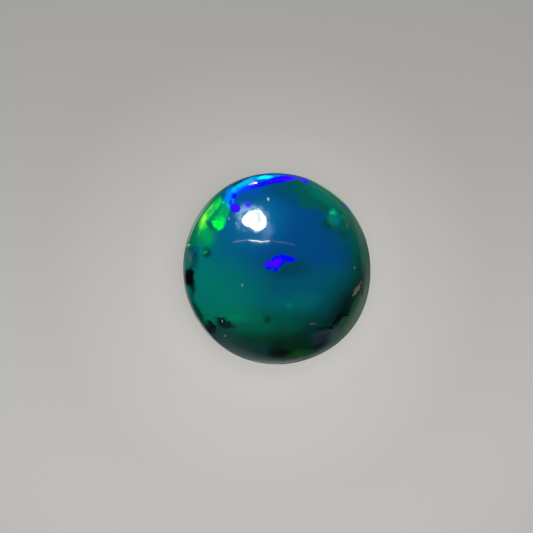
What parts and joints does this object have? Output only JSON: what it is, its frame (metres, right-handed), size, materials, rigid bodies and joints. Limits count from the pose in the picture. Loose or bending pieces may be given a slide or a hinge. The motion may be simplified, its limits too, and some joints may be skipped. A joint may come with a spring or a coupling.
{
  "type": "black opal cabochon",
  "caption": "Loose round black opal cabochon: a polished domed stone with a narrow girdle, a bevelled edge below it and a flat back.",
  "frame": {"origin": "centre of the flat back, on the surface that the stone rests on", "axes": "+Z out through the top of the dome; +Y is up in the picture's view of the markings"},
  "size_m": [0.01, 0.01, 0.0034],
  "materials": {
    "black_opal": "polished, opaque dark body with blue, green and violet play of colour"
  },
  "bodies": {
    "root": {"cabochon": "black_opal"}
  },
  "joints": []
}
